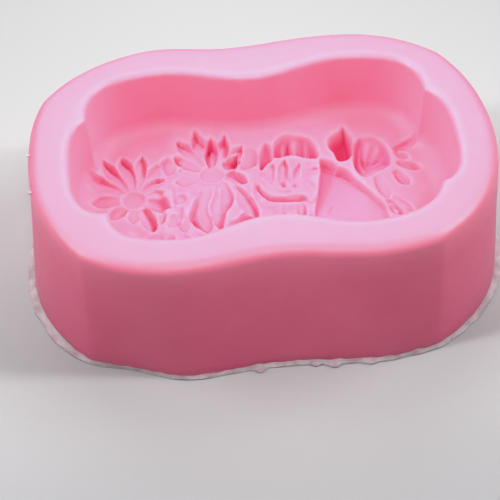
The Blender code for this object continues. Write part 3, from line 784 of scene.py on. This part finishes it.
def build_mesh(name, points, quads, cap=None):
    """A smooth-shaded object from points in millimetres, quads and at most one larger face."""
    faces = [list(face) for face in quads] + ([cap] if cap else [])
    mesh = bpy.data.meshes.new(name)
    mesh.from_pydata((points * MM).tolist(), [], faces)
    mesh.shade_smooth()
    mesh.set_sharp_from_angle(angle=math.radians(80))
    mesh.update()
    thing = bpy.data.objects.new(name, mesh)
    bpy.context.scene.collection.objects.link(thing)
    return thing


# ------------------------------------------------------------- the materials

def nodes_of(material):
    material.use_nodes = True
    tree = material.node_tree
    return tree, tree.nodes["Principled BSDF"]


def noise(tree, scale, detail, roughness=0.5):
    place = tree.nodes.new("ShaderNodeTexCoord")
    texture = tree.nodes.new("ShaderNodeTexNoise")
    texture.inputs["Scale"].default_value = scale
    texture.inputs["Detail"].default_value = detail
    texture.inputs["Roughness"].default_value = roughness
    tree.links.new(place.outputs["Object"], texture.inputs["Vector"])
    return texture.outputs["Fac"]


def ramp(tree, value, stops):
    node = tree.nodes.new("ShaderNodeValToRGB")
    elements = node.color_ramp.elements
    for element, (position, colour) in zip(elements, stops):
        element.position, element.color = position, (*colour, 1)
    for position, colour in stops[2:]:
        elements.new(position).color = (*colour, 1)
    tree.links.new(value, node.inputs["Fac"])
    return node.outputs["Color"]


def bump(tree, value, strength, distance, below=None):
    node = tree.nodes.new("ShaderNodeBump")
    node.inputs["Strength"].default_value = strength
    node.inputs["Distance"].default_value = distance
    tree.links.new(value, node.inputs["Height"])
    if below:
        tree.links.new(below, node.inputs["Normal"])
    return node.outputs["Normal"]


def by_height(tree, low, high, at_low, at_high):
    """A value that changes with height above the base."""
    place = tree.nodes.new("ShaderNodeTexCoord")
    axes = tree.nodes.new("ShaderNodeSeparateXYZ")
    spread = tree.nodes.new("ShaderNodeMapRange")
    tree.links.new(place.outputs["Object"], axes.inputs[0])
    tree.links.new(axes.outputs["Z"], spread.inputs["Value"])
    for name, value in (("From Min", low), ("From Max", high), ("To Min", at_low), ("To Max", at_high)):
        spread.inputs[name].default_value = value
    return spread.outputs[0]


def mix_by_attribute(tree, name, colour, target):
    """The colour, turned to the target where the mesh's attribute is 1."""
    attribute = tree.nodes.new("ShaderNodeAttribute")
    attribute.attribute_name = name
    mixed = tree.nodes.new("ShaderNodeMix")
    mixed.data_type = 'RGBA'
    mixed.label = name
    tree.links.new(attribute.outputs["Fac"], mixed.inputs[0])
    tree.links.new(colour, mixed.inputs[6])
    mixed.inputs[7].default_value = target
    return mixed.outputs[2]


def silicone():
    """Soft pink silicone: a little cloudy, shinier on the rim, with painted shade (redder and darker) where
    it is sunk, painted light on the ridges and painted light on the cavity's surface and the top of the
    outside wall.
    """
    material = bpy.data.materials.new("silicone_pink")
    tree, shader = nodes_of(material)
    cloud = noise(tree, 60, 3)
    outer = ramp(tree, cloud, [(0.30, SILICONE_DARK), (0.70, SILICONE_LIGHT)])
    # Painted light inside the cavity and near the top of the outside wall
    painted_lit = mix_by_attribute(tree, "painted_light", outer, (*SILICONE_PAINTED_LIGHT, 1))
    # Painted light on the ridges of the relief
    ridge_lit = mix_by_attribute(tree, "painted_ridge_light", painted_lit, (*SILICONE_PAINTED_RIDGE_LIGHT, 1))
    # Painted shade in the recesses, carried by the sunk attribute
    sunk = mix_by_attribute(tree, "sunk", ridge_lit, (*SILICONE_PAINTED_SHADE, 1))
    tree.links.new(sunk, shader.inputs["Base Color"])
    shade = ramp(tree, noise(tree, 900, 4, 0.6), [(0.35, (0.42, 0.42, 0.42)), (0.65, (0.50, 0.50, 0.50))])
    tree.links.new(shade, shader.inputs["Roughness"])
    gloss = by_height(tree, GLOSS_FROM, GLOSS_TO, GLOSS_INSIDE, GLOSS_RIM)
    tree.links.new(gloss, shader.inputs["Specular IOR Level"])
    shader.inputs["Subsurface Weight"].default_value = 0.75
    shader.inputs["Subsurface Radius"].default_value = (1.0, 0.36, 0.50)
    shader.inputs["Subsurface Scale"].default_value = 1.1 * MM
    shader.inputs["IOR"].default_value = 1.5
    soft = bump(tree, noise(tree, 260, 2), 0.12, 0.4 * MM)
    fine = bump(tree, noise(tree, 2600, 3), 0.10, 0.06 * MM, soft)
    pits = tree.nodes.new("ShaderNodeTexVoronoi")
    place = tree.nodes.new("ShaderNodeTexCoord")
    pits.inputs["Scale"].default_value = 260
    tree.links.new(place.outputs["Object"], pits.inputs["Vector"])
    pit = tree.nodes.new("ShaderNodeMapRange")
    pit.inputs["From Max"].default_value = 0.09
    tree.links.new(pits.outputs["Distance"], pit.inputs["Value"])
    pocked = bump(tree, pit.outputs[0], 0.35, 0.12 * MM, fine)
    tree.links.new(pocked, shader.inputs["Normal"])
    return material


def flash_silicone():
    """Thin torn silicone, paler than the casting and a little clear."""
    material = bpy.data.materials.new("silicone_flash")
    tree, shader = nodes_of(material)
    stops = [(0.35, (0.58, 0.42, 0.47)), (0.62, (0.80, 0.68, 0.72))]
    colour = ramp(tree, noise(tree, 420, 4, 0.6), stops)
    tree.links.new(colour, shader.inputs["Base Color"])
    shade = ramp(tree, noise(tree, 1500, 3), [(0.35, (0.38, 0.38, 0.38)), (0.65, (0.60, 0.60, 0.60))])
    tree.links.new(shade, shader.inputs["Roughness"])
    shader.inputs["Subsurface Weight"].default_value = 0.5
    shader.inputs["Subsurface Radius"].default_value = (1.0, 0.7, 0.75)
    shader.inputs["Subsurface Scale"].default_value = 0.8 * MM
    shader.inputs["Transmission Weight"].default_value = 0.25
    shader.inputs["IOR"].default_value = 1.41
    tree.links.new(bump(tree, noise(tree, 1800, 3), 0.5, 0.1 * MM), shader.inputs["Normal"])
    return material


def matte(name, colour):
    material = bpy.data.materials.new(name)
    tree, shader = nodes_of(material)
    shader.inputs["Base Color"].default_value = (*colour, 1)
    shader.inputs["Roughness"].default_value = 0.9
    return material


# ----------------------------------------------------------------- the stage

def aim(data, place, target):
    """Stand a light somewhere and turn it towards a point."""
    light = bpy.data.objects.new(data.name, data)
    light.location = place
    light.rotation_euler = (Vector(target) - Vector(place)).to_track_quat('-Z', 'Y').to_euler()
    bpy.context.scene.collection.objects.link(light)


def area_light(name, place, target, size, power):
    data = bpy.data.lights.new(name, 'AREA')
    data.shape = 'RECTANGLE'
    data.size, data.size_y = size
    data.energy = power
    aim(data, place, target)


def spot_light(name, place, target, angle, softness, power):
    data = bpy.data.lights.new(name, 'SPOT')
    data.spot_size = math.radians(angle)
    data.spot_blend = 1.0
    data.shadow_soft_size = softness
    data.energy = power
    aim(data, place, target)


def shoulder():
    """Plain colours with highlights that roll off like a camera's, instead of clipping."""
    view = bpy.context.scene.view_settings
    view.view_transform = 'Standard'
    view.use_curve_mapping = True
    mapping = view.curve_mapping
    mapping.use_clip = False
    mapping.extend = 'HORIZONTAL'
    curve = mapping.curves[3]
    curve.points[1].location = (2.0, 0.95)
    for at, value in ((0.5, 0.5), (0.8, 0.77), (1.1, 0.88), (1.5, 0.93)):
        curve.points.new(at, value)
    mapping.update()


def stage():
    mesh = bpy.data.meshes.new("floor")
    reach = 3.0
    corners = [(-reach, -reach, 0), (reach, -reach, 0), (reach, reach, 0), (-reach, reach, 0)]
    mesh.from_pydata(corners, [], [(0, 1, 2, 3)])
    mesh.materials.append(matte("floor_grey", (0.50, 0.50, 0.51)))
    floor = bpy.data.objects.new("floor", mesh)
    bpy.context.scene.collection.objects.link(floor)
    # Each light's place, target and size are in metres and its power in watts
    area_light("key", (0.0, 0.42, 0.52), (0, 0, 0.02), (0.6, 0.45), 2.7)
    area_light("left", (-0.44, 0.05, 0.54), (0, 0, 0.02), (0.35, 0.35), 2.2)
    area_light("right", (0.44, 0.05, 0.54), (0, 0, 0.02), (0.35, 0.35), 2.2)
    spot_light("cavity", (0.03, -0.36, 0.48), (0, 0.047, 0.024), 16, 0.06, 10.8)
    spot_light("cavity_left", (0.42, -0.06, 0.42), (-0.052, 0, 0.024), 13, 0.05, 13.0)
    spot_light("cavity_right", (-0.42, -0.06, 0.42), (0.052, 0, 0.024), 13, 0.05, 13.0)
    world = bpy.data.worlds.new("world")
    world.use_nodes = True
    world.node_tree.nodes["Background"].inputs["Color"].default_value = (1, 1, 1, 1)
    world.node_tree.nodes["Background"].inputs["Strength"].default_value = 0.07
    bpy.context.scene.world = world
    shoulder()


def camera():
    elevation, azimuth, roll = (math.radians(v) for v in (CAMERA_ELEVATION, CAMERA_AZIMUTH, CAMERA_ROLL))
    back = Vector((math.sin(azimuth) * math.cos(elevation), -math.cos(azimuth) * math.cos(elevation),
                   math.sin(elevation)))
    right = (-back).cross(Vector((0, 0, 1))).normalized()
    up = right.cross(-back)
    turned_right = right * math.cos(roll) + up * math.sin(roll)
    turned_up = up * math.cos(roll) - right * math.sin(roll)
    data = bpy.data.cameras.new("camera")
    data.sensor_width = 36
    data.lens = CAMERA_LENS
    data.clip_start, data.clip_end = 0.01, 20
    eye = bpy.data.objects.new("camera", data)
    place = (Vector(CAMERA_TARGET) + back * CAMERA_DISTANCE) * MM
    facing = Matrix((turned_right, turned_up, back)).transposed().to_4x4()
    eye.matrix_world = Matrix.Translation(place) @ facing
    bpy.context.scene.collection.objects.link(eye)
    bpy.context.scene.camera = eye


def main():
    skin = casting()
    skin.data.materials.append(silicone())
    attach(skin, "root")
    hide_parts(*[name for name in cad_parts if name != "base_flash"])
    skirt, scraps = flash(), nubs()
    thin = flash_silicone()
    for piece in (skirt, scraps):
        piece.data.materials.append(thin)
        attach(piece, "root")
    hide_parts("base_flash")
    stage()
    camera()


main()
